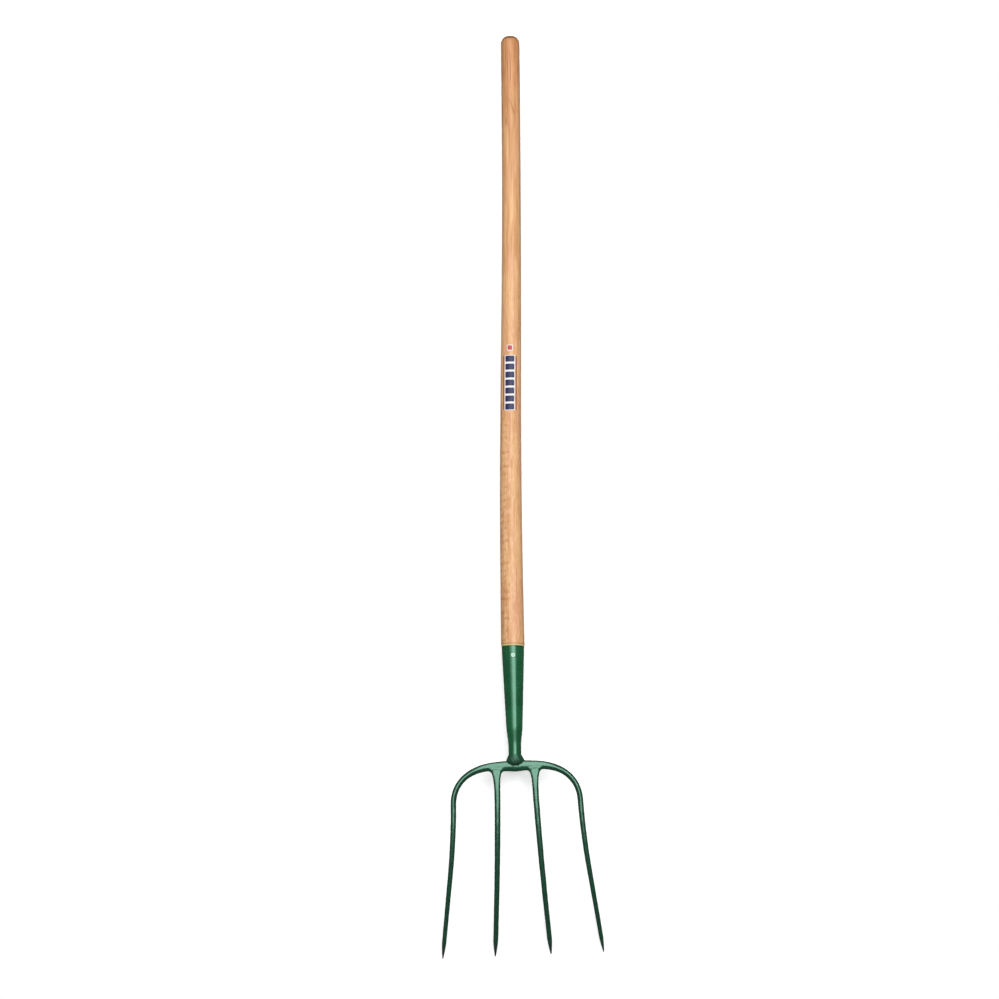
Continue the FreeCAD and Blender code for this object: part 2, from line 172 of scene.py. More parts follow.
def skin(bm, rings, ends=True, loop=False):
    """Quads between rings of points in millimetres. With ends, each end closes on its own centre."""
    rows = [[bm.verts.new(Vector(p) * MM) for p in ring] for ring in rings]
    around = len(rows[0])
    pairs = list(zip(rows[:-1], rows[1:])) + ([(rows[-1], rows[0])] if loop else [])
    for upper, lower in pairs:
        for k in range(around):
            n = (k + 1) % around
            bm.faces.new((upper[k], lower[k], lower[n], upper[n]))
    if ends and not loop:
        for row, ring in ((rows[0], rings[0]), (rows[-1], rings[-1])):
            centre = bm.verts.new(Vector(np.mean(ring, axis=0)) * MM)
            for k in range(around):
                bm.faces.new((row[k], row[(k + 1) % around], centre))


def piece(name, bm, finish, stands_for=(), sharp=35.0):
    """Makes an object from a closed mesh, with edges sharp where its faces meet at more than an angle."""
    bmesh.ops.recalc_face_normals(bm, faces=bm.faces)
    limit = math.radians(sharp)
    for face in bm.faces:
        face.smooth = True
    for edge in bm.edges:
        edge.smooth = edge.calc_face_angle(0.0) < limit
    mesh = bpy.data.meshes.new(name)
    bm.to_mesh(mesh)
    bm.free()
    mesh.materials.append(finish)
    made = bpy.data.objects.new(name, mesh)
    bpy.context.scene.collection.objects.link(made)
    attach(made, "root")
    if stands_for:
        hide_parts(*stands_for)
    return made


def cut_hole(target, centre, radius):
    """A round hole right through a piece along Y, with centre a point in millimetres."""
    count, reach = 40, 60.0
    bm = bmesh.new()
    ends = [
        [bm.verts.new(Vector((centre[0] + radius * c, y, centre[2] + radius * s)) * MM) for c, s in zip(*circle(count))]
        for y in (-reach, reach)
    ]
    for k in range(count):
        n = (k + 1) % count
        bm.faces.new((ends[0][k], ends[0][n], ends[1][n], ends[1][k]))
    for end in ends:
        bm.faces.new(end)
    bmesh.ops.recalc_face_normals(bm, faces=bm.faces)
    mesh = bpy.data.meshes.new("cutter")
    bm.to_mesh(mesh)
    bm.free()
    cutter = bpy.data.objects.new("cutter", mesh)
    bpy.context.scene.collection.objects.link(cutter)
    modifier = target.modifiers.new("hole", "BOOLEAN")
    modifier.operation = "DIFFERENCE"
    modifier.solver = "EXACT"
    modifier.object = cutter
    apply_modifiers(target)
    bpy.data.objects.remove(cutter)


def apply_modifiers(target):
    bpy.context.view_layer.update()
    shaped = target.evaluated_get(bpy.context.evaluated_depsgraph_get())
    mesh = bpy.data.meshes.new_from_object(shaped)
    target.modifiers.clear()
    old = target.data
    target.data = mesh
    mesh.name = target.name
    bpy.data.meshes.remove(old)


# Waves in scattered directions, 9 to 24 mm long, that add up to hammer marks
WAVE_COUNT = 14
draws = np.random.default_rng(11)
HAMMER_AXES = draws.normal(size=(WAVE_COUNT, 3))
HAMMER_AXES /= np.linalg.norm(HAMMER_AXES, axis=1)[:, None]
HAMMER_WAVES = HAMMER_AXES * (2 * math.pi / draws.uniform(9.0, 24.0, WAVE_COUNT))[:, None]
HAMMER_STARTS = draws.uniform(0, 2 * math.pi, WAVE_COUNT)


def hammered(points):
    """A smooth uneven field of about plus or minus one."""
    return np.sin(points @ HAMMER_WAVES.T + HAMMER_STARTS).sum(axis=-1) / 3.0


# ---- materials


def rgb(red, green, blue):
    """A display colour of 0 to 255 as the linear colour that a shader takes."""
    shares = [c / 255 for c in (red, green, blue)]
    return tuple(((c + 0.055) / 1.055) ** 2.4 if c > 0.04 else c / 12.92 for c in shares) + (1.0,)


class Paintbox:
    """Adds nodes to one material. An input may be a plain value or another node's output."""

    def __init__(self, name):
        self.made = bpy.data.materials.new(name)
        self.made.use_nodes = True
        self.tree = self.made.node_tree
        self.shader = self.tree.nodes["Principled BSDF"]

    def put(self, socket, value):
        if isinstance(value, bpy.types.NodeSocket):
            self.tree.links.new(value, socket)
        else:
            socket.default_value = value

    def node(self, kind, inputs, output=0, **settings):
        made = self.tree.nodes.new("ShaderNode" + kind)
        for name, value in settings.items():
            setattr(made, name, value)
        for name, value in inputs.items():
            self.put(made.inputs[name], value)
        return made.outputs[output]

    def place(self, scale=(1, 1, 1), turn=(0, 0, 0)):
        here = self.node("TexCoord", {}, output="Object")
        return self.node("Mapping", {"Vector": here, "Scale": scale, "Rotation": turn})

    def noise(self, where, scale, detail=2.0, roughness=0.5, distortion=0.0):
        return self.node("TexNoise", {
            "Vector": where, "Scale": scale, "Detail": detail, "Roughness": roughness, "Distortion": distortion,
        })

    def ramp(self, value, low, high, to_low=0.0, to_high=1.0, smooth=True):
        inputs = {"Value": value, "From Min": low, "From Max": high, "To Min": to_low, "To Max": to_high}
        return self.node("MapRange", inputs, interpolation_type="SMOOTHSTEP" if smooth else "LINEAR")

    def maths(self, operation, a, b=0.0):
        return self.node("Math", {0: a, 1: b}, operation=operation)

    def times(self, first, *others):
        for other in others:
            first = self.maths("MULTIPLY", first, other)
        return first

    def mix(self, share, a, b):
        """A colour between a and b. The node's colour sockets share their names with others, so they go by number."""
        made = self.tree.nodes.new("ShaderNodeMix")
        made.data_type = "RGBA"
        for index, value in ((0, share), (6, a), (7, b)):
            self.put(made.inputs[index], value)
        return made.outputs[2]

    def axis(self, index):
        return self.node("SeparateXYZ", {"Vector": self.node("TexCoord", {}, output="Object")}, output=index)

    def mark(self, x, z, slope, length, width):
        """A thin mark through x, z that leans by a slope and fades out at its ends, all in metres."""
        rise = self.maths("SUBTRACT", self.axis(2), z)
        off_line = self.maths("SUBTRACT", self.maths("SUBTRACT", self.axis(0), x), self.times(rise, slope))
        near = self.ramp(self.maths("ABSOLUTE", off_line), width, width * 0.3)
        return self.times(near, self.ramp(self.maths("ABSOLUTE", rise), length / 2, length / 3))

    def bump(self, height, distance):
        return self.node("Bump", {"Height": height, "Distance": distance})

    def set(self, **inputs):
        for name, value in inputs.items():
            self.put(self.shader.inputs[name.replace("_", " ")], value)
        return self.made


# Places up the handle and the head, in metres
GRIP_AGED = (-0.10, 0.13)
RAYS = (-0.12, -0.45)
FLECKS = (-0.47, -0.56)
HEAD_PAINT = (-1.096, -1.106)
RUBBED = (-1.20, -1.36)
POINT_SHADE_AND_WEAR = (-1.402, -1.424)
SHADED_CROWN = TOP * MM - 0.0065
PALE_BAND_TOP = SHOULDER * MM + 0.0024
# Dark marks near the handle's top: x, z, slope, length and width
MARKS = (
    (0.0025, 0.0215, -0.32, 0.030, 0.0011),
    (-0.0075, -0.0050, 0.02, 0.014, 0.0013),
    (0.0005, 0.092, 0.03, 0.060, 0.0008),
)


def make_wood():
    """Beech: bands along the grain, dark and light streaks, slanting rays lower down, and flecks on the left."""
    box = Paintbox("beech")
    height, across = box.axis(2), box.axis(0)
    grain_turn = (0.006, 0.01, 0)
    bands = box.noise(box.place((1, 1, 0.035), grain_turn), 190.0, 2.0, 0.45, 0.15)
    fine = box.noise(box.place((1, 1, 0.012), grain_turn), 1100.0, 3.0, 0.6)
    figure = box.noise(box.place((1, 1, 0.09), (0.02, -0.015, 0)), 120.0, 2.0, 0.5, 0.6)
    streak = box.noise(box.place((1, 1, 0.045), (0.006, 0.02, 0)), 430.0, 2.5, 0.6)
    ray = box.noise(box.place((1, 1, 0.26), (0, 0.30, 0)), 400.0, 1.5, 0.5)
    patch = box.noise(box.place((1, 1, 0.4)), 60.0, 1.0)

    brown = rgb(172, 108, 66)
    colour = box.mix(box.ramp(bands, 0.42, 0.60), rgb(222, 164, 108), rgb(234, 172, 130))
    colour = box.mix(box.ramp(figure, 0.40, 0.62), colour, rgb(242, 190, 136))
    colour = box.mix(box.times(box.ramp(fine, 0.52, 0.70), 0.35), colour, brown)

    near_top = box.ramp(height, *GRIP_AGED)
    aged = box.mix(box.ramp(bands, 0.35, 0.62), rgb(196, 134, 84), rgb(214, 148, 98))
    colour = box.mix(box.times(near_top, 0.85), colour, aged)
    streak_depth = box.maths("ADD", box.times(near_top, 0.32), 0.20)
    colour = box.mix(box.times(box.ramp(streak, 0.51, 0.66), streak_depth), colour, brown)
    colour = box.mix(box.times(box.ramp(streak, 0.47, 0.34), 0.28), colour, rgb(250, 204, 152))
    rays = box.times(box.ramp(height, *RAYS), 0.42, box.ramp(ray, 0.52, 0.66))
    colour = box.mix(rays, colour, rgb(252, 208, 166))

    rungs = box.maths("SINE", box.maths("ADD", box.times(height, 530.0), box.times(patch, 9.0)))
    on_left = box.times(box.ramp(across, -0.002, -0.008), box.ramp(height, *FLECKS))
    broken = box.ramp(box.noise(box.place(), 130.0, 2.0, 0.6), 0.44, 0.60)
    flecks = box.times(box.ramp(rungs, -0.2, 0.9), on_left, broken, 0.5)
    colour = box.mix(flecks, colour, rgb(190, 124, 72))
    for mark in MARKS:
        colour = box.mix(box.times(box.mark(*mark), 0.55), colour, rgb(150, 84, 48))
    # The dome at the top is painted darker: painted shade where it turns up away from the lamps.
    colour = box.mix(box.ramp(height, SHADED_CROWN - 0.0010, SHADED_CROWN, 0.0, 0.72), colour, rgb(128, 88, 54))

    # A dark line just above the pale band is painted shade, standing in for a groove that the shape does not have.
    above_line = box.ramp(height, PALE_BAND_TOP + 0.0030, PALE_BAND_TOP + 0.0008)
    below_line = box.ramp(height, PALE_BAND_TOP - 0.0006, PALE_BAND_TOP + 0.0004)
    colour = box.mix(box.times(above_line, below_line, 0.55), colour, rgb(140, 86, 50))
    # The foot of the handle, below that line, is a pale yellow band.
    colour = box.mix(box.ramp(height, PALE_BAND_TOP, PALE_BAND_TOP - 0.0006), colour, rgb(240, 218, 150))
    grain = box.maths("ADD", fine, box.times(flecks, -0.6))
    return box.set(
        Base_Color=colour, Roughness=box.ramp(fine, 0.3, 0.75, 0.42, 0.58, smooth=False),
        Specular_IOR_Level=0.35, Coat_Weight=0.12, Coat_Roughness=0.3, Normal=box.bump(grain, 0.00012),
    )


def make_paint(name, matt=0.0):
    """Enamel, darker and streaked on the head, rubbed to pale specks low on the tines, and painted near black at the
    points as painted shade over worn paint. matt is added to its roughness, on coarse metal.
    """
    box = Paintbox(name)
    height = box.axis(2)
    cloud = box.noise(box.place(), 28.0, 2.0)
    speck = box.noise(box.place((1, 1, 0.6)), 900.0, 2.0, 0.6)
    peel = box.noise(box.place(), 420.0, 1.5, 0.5)
    streak = box.noise(box.place((1, 1, 2.2)), 170.0, 3.0, 0.6)
    point_edge_noise = box.noise(box.place(), 220.0, 2.0)
    colour = box.mix(box.ramp(cloud, 0.38, 0.62), rgb(13, 80, 44), rgb(22, 93, 54))
    mottle = box.times(box.ramp(height, *RUBBED), box.ramp(speck, 0.50, 0.66), 0.75)
    colour = box.mix(mottle, colour, rgb(78, 100, 82))
    head = box.mix(box.ramp(streak, 0.36, 0.66), rgb(8, 54, 32), rgb(24, 68, 50))
    colour = box.mix(box.ramp(height, *HEAD_PAINT), colour, head)
    # The points are painted near black: painted shade where they turn down away from the lamps, on paint worn off at
    # the points.
    point_shade_and_wear = box.ramp(box.maths("ADD", height, box.times(point_edge_noise, 0.012)), *POINT_SHADE_AND_WEAR)
    colour = box.mix(point_shade_and_wear, colour, rgb(24, 30, 26))
    relief = box.maths("ADD", box.times(peel, 0.6), box.times(speck, 0.25))
    return box.set(
        Base_Color=colour, Roughness=box.ramp(speck, 0.35, 0.7, 0.20 + matt, 0.30 + matt, smooth=False),
        Specular_IOR_Level=1.0, Specular_Tint=(0.54, 1.0, 0.77, 1.0), Normal=box.bump(relief, 0.00010),
    )


def make_steel():
    box = Paintbox("rivet_steel")
    scratch = box.noise(box.place((1, 1, 1)), 2600.0, 2.0, 0.6)
    colour = box.mix(box.ramp(scratch, 0.35, 0.7), rgb(164, 194, 178), rgb(198, 220, 206))
    rough = box.ramp(scratch, 0.3, 0.75, 0.50, 0.62, smooth=False)
    return box.set(Base_Color=colour, Metallic=1.0, Roughness=rough, Normal=box.bump(scratch, 0.00004))


def make_print(name, red, green, blue):
    box = Paintbox(name)
    wear = box.noise(box.place((1, 1, 0.5)), 900.0, 3.0, 0.65)
    ink = rgb(red, green, blue)
    faded = rgb(*(int(c + (255 - c) * 0.22) for c in (red, green, blue)))
    colour = box.mix(box.ramp(wear, 0.46, 0.72), ink, faded)
    rough = box.ramp(wear, 0.3, 0.75, 0.32, 0.5, smooth=False)
    return box.set(Base_Color=colour, Roughness=rough, Specular_IOR_Level=0.35, Normal=box.bump(wear, 0.00003))


wood = make_wood()
paint = make_paint("green_enamel")
bead_paint = make_paint("green_enamel_on_weld", 0.24)
steel = make_steel()


# ---- handle


def turned(radius, depth, around):
    """A ring on the socket's axis. around is the cosines and sines of its points."""
    cosines, sines = around
    return from_socket(np.stack([radius * cosines, radius * sines, np.full(cosines.shape, depth)], axis=1))


def make_handle():
    cosines, sines = circle(112)
    dome = rounded([(0.0, TOP, 0), (GRIP_RADIUS, TOP, DOME_RADIUS), (GRIP_RADIUS, GRIP_END, 0)], 14)[1:]
    shoulder = [
        (SHOULDER_RADIUS, SHOULDER + SHOULDER_CHAMFER), (SHOULDER_RADIUS - SHOULDER_CHAMFER, SHOULDER),
    ]
    rings = []
    for radius, z in divided(np.vstack([dome, shoulder]), 5.0):
        centre = handle_centre(z)
        rings.append(np.stack([centre + radius * cosines, radius * sines, np.full(cosines.shape, z)], axis=1))
    clear = WALL + FOOT_CLEARANCE
    foot = np.array([
        (MOUTH_RADIUS - clear, FOOT_START), (LAND_RADIUS - clear, LAND_END), (CONE_END_RADIUS - clear, CONE_END),
        (FOOT_END_RADIUS, FOOT_END),
    ])
    rings += [turned(radius, depth, (cosines, sines)) for radius, depth in divided(foot, 1.5)]
    bm = bmesh.new()
    skin(bm, rings)
    return piece("handle_shaft", bm, wood, ["handle"], sharp=30)


shaft = make_handle()


# ---- socket and rivet


def socket_radius(depth):
    return LAND_RADIUS - (LAND_RADIUS - CONE_END_RADIUS) * (depth - LAND_END) / (CONE_END - LAND_END)


def make_socket():
    outer = rounded([
        (MOUTH_FACE, 0.0, 0), (MOUTH_RADIUS, 0.0, MOUTH_ROUND), (LAND_RADIUS, LAND_END, LAND_BLEND),
        (CONE_END_RADIUS, CONE_END, SWAGE_BLEND), (NECK_RADIUS, NECK_START, SWAGE_BLEND), (NECK_RADIUS, NECK_END, 0),
    ])
    inner = rounded([
        (NECK_BORE, NECK_END, 0), (NECK_BORE, NECK_START, SWAGE_BLEND), (CONE_END_RADIUS - WALL, CONE_END, SWAGE_BLEND),
        (LAND_RADIUS - WALL, LAND_END, LAND_BLEND), (MOUTH_RADIUS - WALL, 0.0, 0),
    ])
    around = circle(112)
    profile = np.vstack([divided(outer, 1.3), divided(inner, 1.3)])
    bm = bmesh.new()
    skin(bm, [turned(radius, depth, around) for radius, depth in profile], ends=False, loop=True)
    return piece("socket_tube", bm, paint, ["socket"], sharp=40)


socket = make_socket()
rivet_centre = from_socket([0.0, 0.0, RIVET_DROP])
for holed in (shaft, socket):
    cut_hole(holed, rivet_centre, SHANK_RADIUS)


def make_rivet():
    """One shank with a dimpled head in front and a plain one behind, both sitting down on the round wall."""
    cosines, sines = circle(56)
    level = socket_radius(RIVET_DROP)
    front = rounded([
        (0.25, -0.35, 0), (1.0, -0.35, 0.2), (1.6, -1.6, 0.25), (3.6, -1.5, 0.5), (RIVET_HEAD, -0.5, 0.3),
        (RIVET_HEAD, 0.0, 0),
    ], 5)
    rear = rounded([(RIVET_HEAD, 0.0, 0), (RIVET_HEAD, -0.3, 0.4), (3.2, -1.6, 0.8), (0.25, -1.6, 0)], 5)
    # Each ring is flat at a depth from the front, or lies on the round wall in front (-1) or behind (1).
    rings = [(radius, rise - level, 0) for radius, rise in front[:-1]]
    rings += [(RIVET_HEAD, 0, -1), (SHANK_RADIUS, 0, -1), (SHANK_RADIUS, 0, 1), (RIVET_HEAD, 0, 1)]
    rings += [(radius, level - rise, 0) for radius, rise in rear[1:]]
    points = []
    for radius, y, side in rings:
        across, down = radius * cosines, radius * sines
        wall = socket_radius(RIVET_DROP + down)
        depth = side * (np.sqrt(wall**2 - across**2) + 0.02) if side else np.full(across.shape, y)
        points.append(from_socket(np.stack([across, depth, RIVET_DROP + down], axis=1)))
    bm = bmesh.new()
    skin(bm, points)
    return piece("rivet_through", bm, steel, ["rivet"], sharp=50)


make_rivet()


# ---- head


def dish(v):
    lean = (v - LEVEL) / DISH_RADIUS - math.sin(DISH_ROOT)
    return DISH_RADIUS * (math.cos(DISH_ROOT) - np.sqrt(1 - lean**2))


def incline(degrees):
    return math.tan(math.radians(degrees))


def eased(v, at, slope):
    """Spreads a sudden change of slope at a depth over EASE before and after it."""
    inside = np.clip(v - at + EASE, 0, 2 * EASE)
    return slope * (inside**2 / (4 * EASE) + np.clip(v - at - EASE, 0, None) - np.clip(v - at, 0, None))


def sweep(a, root, end, length):
    """How far a tine has moved sideways after a depth a below its root, as its slope grows from root to end."""
    start, gain = incline(root), incline(end) - incline(root)
    bent = np.clip(a, 0, length)
    return start * np.clip(a, 0, None) + gain * (bent**2 / (2 * length) + np.clip(a - length, 0, None))


def outer_centre(v):
    return REACH + sweep(v - BOW_END, *OUTER_SLOPES) + eased(v, BOW_END, incline(OUTER_SLOPES[0]))


def inner_centre(v):
    return INNER_REACH + sweep(v - INNER_ROOT, *INNER_SLOPES) + eased(v, INNER_ROOT, incline(INNER_SLOPES[0]))


def pointed(v):
    """The share of its size that a tine keeps at a depth, over its point and its small round end."""
    p = np.clip((v - (TINE_END - POINT)) / POINT, 0, 1)
    last = np.clip((v - (TINE_END - TIP_ROUND)) / TIP_ROUND, 0, 1)
    return (1 - 0.48 * p - 0.32 * p**2) * np.sqrt(np.clip(1 - last**2, 0.0, 1))


def tapered(v, root, sizes):
    """A size that changes evenly from a tine's root to where its point starts."""
    return sizes[0] + (sizes[1] - sizes[0]) * np.clip((v - root) / (TINE_END - POINT - root), 0, 1)


def outer_size(v):
    return tapered(v, BOW_END, OUTER_SIZES)


def inner_size(v):
    """An inner tine flares into the bar."""
    return tapered(v, INNER_ROOT, INNER_SIZES) + 24.0 * np.exp((LEVEL - v) / 9.0)


def inner_power(v):
    return ROUND_POWER + 2.9 * np.exp(-np.clip(v - 22, 0, None) / 24.0)


def smooth_step(share):
    share = np.clip(share, 0, 1)
    return share**2 * (3 - 2 * share)


def inner_thickness(v):
    blend = smooth_step((v - 30) / 35)
    return 10.8 * (1 - blend) + inner_size(v) * THINNESS * blend


def squared(angle_cos, angle_sin, power):
    """A point on a squared-off unit circle in a direction."""
    scale = (np.abs(angle_cos) ** power + np.abs(angle_sin) ** power) ** (-1 / power)
    return angle_cos * scale, angle_sin * scale


# The crossbar's centreline, from its middle round one shoulder and a little way down the tine.
turns = np.linspace(0, math.pi / 2, 700)
bow_u = FLAT + (REACH - FLAT) * np.sin(turns) ** (2 / SQUARING)
bow_v = BOW_END - (BOW_END - LEVEL) * np.cos(turns) ** (2 / SQUARING)
bow_u = bow_u + eased(bow_v, BOW_END, incline(OUTER_SLOPES[0]))
tail = np.linspace(BOW_END + 0.4, BOW_END + EASE, 40)
line = np.vstack([
    np.stack([np.linspace(0, FLAT - 0.5, 60), np.full(60, LEVEL)], axis=1),
    np.stack([bow_u, bow_v], axis=1),
    np.stack([outer_centre(tail), tail], axis=1),
])
lengths = np.concatenate([[0], np.cumsum(np.linalg.norm(np.diff(line, axis=0), axis=1))])
STATIONS = np.linspace(0, lengths[-1], 800)
LINE = np.stack([np.interp(STATIONS, lengths, line[:, k]) for k in (0, 1)], axis=1)
TANGENT = np.gradient(LINE, STATIONS, axis=0)
for _ in range(6):
    TANGENT[1:-1] = (TANGENT[:-2] + 2 * TANGENT[1:-1] + TANGENT[2:]) / 4
TANGENT /= np.linalg.norm(TANGENT, axis=1)[:, None]


def on_line(s):
    place = np.stack([np.interp(s, STATIONS, LINE[:, k]) for k in (0, 1)], axis=-1)
    tangent = np.stack([np.interp(s, STATIONS, TANGENT[:, k]) for k in (0, 1)], axis=-1)
    return place, tangent / np.linalg.norm(tangent, axis=-1, keepdims=True)


def bar_size(u):
    """The bar's height and thickness at a distance from its middle."""
    share = np.clip(1 - u / REACH, 0, 1) ** BAR_TAPER
    end = OUTER_SIZES[0]
    return end + (BAR_HEIGHT - end) * share, end * THINNESS + (BAR_THICKNESS - end * THINNESS) * share


def bar_power(u):
    """The bar is squarer near its middle."""
    return ROUND_POWER + 2.3 * smooth_step((76.0 - u) / 42.0)


def bar_outline(points):
    """How far points are outside the bar's outline, then its half height, half thickness and squareness there."""
    flat = np.stack([np.abs(points[:, 0]), points[:, 2]], axis=1)
    coarse, stride = LINE[::8], 4000
    s = np.empty(len(flat))
    for start in range(0, len(flat), stride):
        block = flat[start : start + stride]
        nearest = ((block[:, None, :] - coarse[None, :, :]) ** 2).sum(axis=2).argmin(axis=1)
        s[start : start + stride] = STATIONS[::8][nearest]
    for _ in range(4):
        place, tangent = on_line(s)
        s = np.clip(s + ((flat - place) * tangent).sum(axis=1), 0, STATIONS[-1])
    place, tangent = on_line(s)
    offset = flat - place
    across = offset[:, 0] * tangent[:, 1] - offset[:, 1] * tangent[:, 0]
    tall, thick = bar_size(place[:, 0])
    below = np.clip((0.05 - across / (tall / 2)) / 1.05, 0, 1)
    thin = 1 - 0.42 * below**1.6
    return np.abs(across) - tall / 2, tall / 2, thick / 2 * thin, bar_power(place[:, 0])


def root_outline(points):
    """The same for the root of an inner tine, which starts inside the bar."""
    u, v = np.abs(points[:, 0]), points[:, 2]
    below = np.maximum(v, LEVEL)
    wide = inner_size(below)
    outside = np.maximum(np.abs(u - inner_centre(below)) - wide / 2, LEVEL - v)
    return outside, wide / 2, inner_thickness(below) / 2, inner_power(below)


def squared_distance(a, b, half_a, half_b, power):
    level = (np.abs(a / half_a) ** power + np.abs(b / half_b) ** power) ** (1 / power)
    return np.hypot(a, b) * (1 - 1 / level)


def spigot_distance(points):
    side = np.hypot(points[:, 0], points[:, 1] - dish(LEVEL)) - SPIGOT_RADIUS
    return np.maximum(side, np.maximum(SPIGOT_TOP - points[:, 2], points[:, 2] - LEVEL))


def merged(a, b, reach):
    """The nearer of two surfaces, with a soft fillet of about reach where they meet."""
    overlap = np.clip(reach - np.abs(a - b), 0, None) / reach
    return np.minimum(a, b) - overlap**2 * reach / 4


def head_distance(points):
    """Roughly how far points are from the forging's surface. One outline is rounded over towards both faces."""
    bar, root = bar_outline(points), root_outline(points)
    share = np.clip(0.5 + (bar[0] - root[0]) / (2 * FILLET), 0, 1)
    half, thick, power = (a + (b - a) * share for a, b in zip(bar[1:], root[1:]))
    across = np.clip(half + merged(bar[0], root[0], FILLET), 1e-6, None)
    body = squared_distance(across, points[:, 1] - dish(points[:, 2]), half, thick, power)
    return np.minimum(body, spigot_distance(points)) - HAMMER_DEPTH * hammered(points)


def ring_on(centre, across, wide, thick, power, count=44):
    """A squared-off ring in the head's frame. across is the in-plane direction of its width, as (u, v)."""
    cosines, sines = circle(count)
    x, y = squared(cosines, sines, power)
    ring = np.empty((count, 3))
    ring[:, 0] = centre[0] + across[0] * x * wide / 2
    ring[:, 1] = centre[1] + y * thick / 2
    ring[:, 2] = centre[2] + across[1] * x * wide / 2
    return ring


def make_crossbar():
    """Tubes along the bar, the roots and the spigot, joined by a fine remesh and drawn onto one smooth surface."""
    bm = bmesh.new()
    half = np.arange(0.0, STATIONS[-1] - 4.0, 1.5)
    rings = []
    for s in np.concatenate([-half[:0:-1], half]):
        side = -1 if s < 0 else 1
        (u, v), (tu, tv) = on_line(abs(s))
        tall, thick = bar_size(u)
        rings.append(ring_on((side * u, dish(v), v), (side * tv, -tu), tall, thick, bar_power(u)))
    skin(bm, rings)
    for side in (-1, 1):
        depths = np.arange(LEVEL + 0.2, INNER_ROOT + 9.0, 1.5)
        skin(bm, [
            ring_on((side * inner_centre(v), dish(v), v), (1, 0), inner_size(v), inner_thickness(v), inner_power(v))
            for v in depths
        ])
    spigot = 2 * SPIGOT_RADIUS
    skin(bm, [ring_on((0, dish(LEVEL), v), (1, 0), spigot, spigot, 2.0) for v in np.arange(SPIGOT_TOP, LEVEL, 2.0)])
    bmesh.ops.recalc_face_normals(bm, faces=bm.faces)
    mesh = bpy.data.meshes.new("crossbar_blank")
    bm.to_mesh(mesh)
    bm.free()
    blank = bpy.data.objects.new("crossbar_blank", mesh)
    bpy.context.scene.collection.objects.link(blank)
    modifier = blank.modifiers.new("remesh", "REMESH")
    modifier.mode = "VOXEL"
    modifier.voxel_size = 0.9 * MM
    apply_modifiers(blank)
    points = np.empty(len(blank.data.vertices) * 3)
    blank.data.vertices.foreach_get("co", points)
    points = points.reshape(-1, 3) / MM
    # The ends that are cut off below, and the spigot inside the weld, stay as the remesh left them.
    outside = np.abs(points[:, 0]) > BETWEEN_TINES
    movable = points[:, 2] < np.where(outside, BOW_END + 4, INNER_ROOT + 4)
    movable &= ~((np.hypot(points[:, 0], points[:, 1]) < 10.5) & (points[:, 2] < 4.5))
    chosen = points[movable]
    nudge, longest = 0.04, 0.8
    for _ in range(4):
        level = head_distance(chosen)
        slope = np.stack([
            head_distance(chosen + nudge * axis) - head_distance(chosen - nudge * axis) for axis in np.eye(3)
        ], axis=1) / (2 * nudge)
        step = slope * (level / np.clip((slope**2).sum(axis=1), 0.2, None))[:, None]
        length = np.linalg.norm(step, axis=1)
        chosen = chosen - step * np.minimum(1, longest / np.clip(length, 1e-9, None))[:, None]
    points[movable] = chosen

    bm = bmesh.new()
    bm.from_mesh(blank.data)
    bpy.data.objects.remove(blank)
    for vert, point in zip(bm.verts, points):
        vert.co = point
    far = 999
    for low, high, depth in (
        (BETWEEN_TINES, far, BOW_END), (-far, -BETWEEN_TINES, BOW_END),
        (0, BETWEEN_TINES, INNER_ROOT), (-BETWEEN_TINES, 0, INNER_ROOT),
    ):
        part = [v for v in bm.verts if low < v.co.x < high and v.co.z > depth - 12]
        faces = [f for f in bm.faces if all(low < v.co.x < high and v.co.z > depth - 12 for v in f.verts)]
        edges = {e for f in faces for e in f.edges}
        made = bmesh.ops.bisect_plane(
            bm, geom=part + list(edges) + faces, plane_co=(0, 0, depth), plane_no=(0, 0, 1), clear_outer=True
        )
        rim = [e for e in made["geom_cut"] if isinstance(e, bmesh.types.BMEdge) and e.is_boundary]
        bmesh.ops.contextual_create(bm, geom=rim)
    for vert in bm.verts:
        vert.co = Vector(from_head(vert.co)) * MM
    return piece("head_crossbar", bm, paint, ["crossbar"], sharp=50)


def make_tine(name, node, side, centre, size, thickness, power, root):
    depths = np.concatenate([
        np.arange(root, TINE_END - POINT, 1.6), np.arange(TINE_END - POINT, TINE_END - 1.0, 0.9),
        TINE_END - TIP_ROUND * (1 - np.sin(np.linspace(0, 1, 7)[:-1] * math.pi / 2)),
    ])
    rings = []
    for v in depths:
        keep = pointed(v)
        ring = ring_on((side * centre(v), dish(v), v), (1, 0), size(v) * keep, thickness(v) * keep, power(v), 40)
        middle = np.array([side * centre(v), dish(v), v])
        out = ring - middle
        reach = np.linalg.norm(out, axis=1)
        ring = ring + out / reach[:, None] * (HAMMER_DEPTH * keep * hammered(ring))[:, None]
        rings.append(from_head(ring))
    bm = bmesh.new()
    skin(bm, rings)
    return piece(name, bm, paint, [node], sharp=50)


def make_tines():
    kinds = (
        ("outer", outer_centre, outer_size, lambda v: outer_size(v) * THINNESS, lambda v: ROUND_POWER, BOW_END),
        ("inner", inner_centre, inner_size, inner_thickness, inner_power, INNER_ROOT),
    )
    for label, side in (("left", -1), ("right", 1)):
        for kind, *shape in kinds:
            make_tine(f"{kind}_tine_{label}", f"tine_{kind}_{label}", side, *shape)


make_crossbar()
make_tines()


# ---- weld


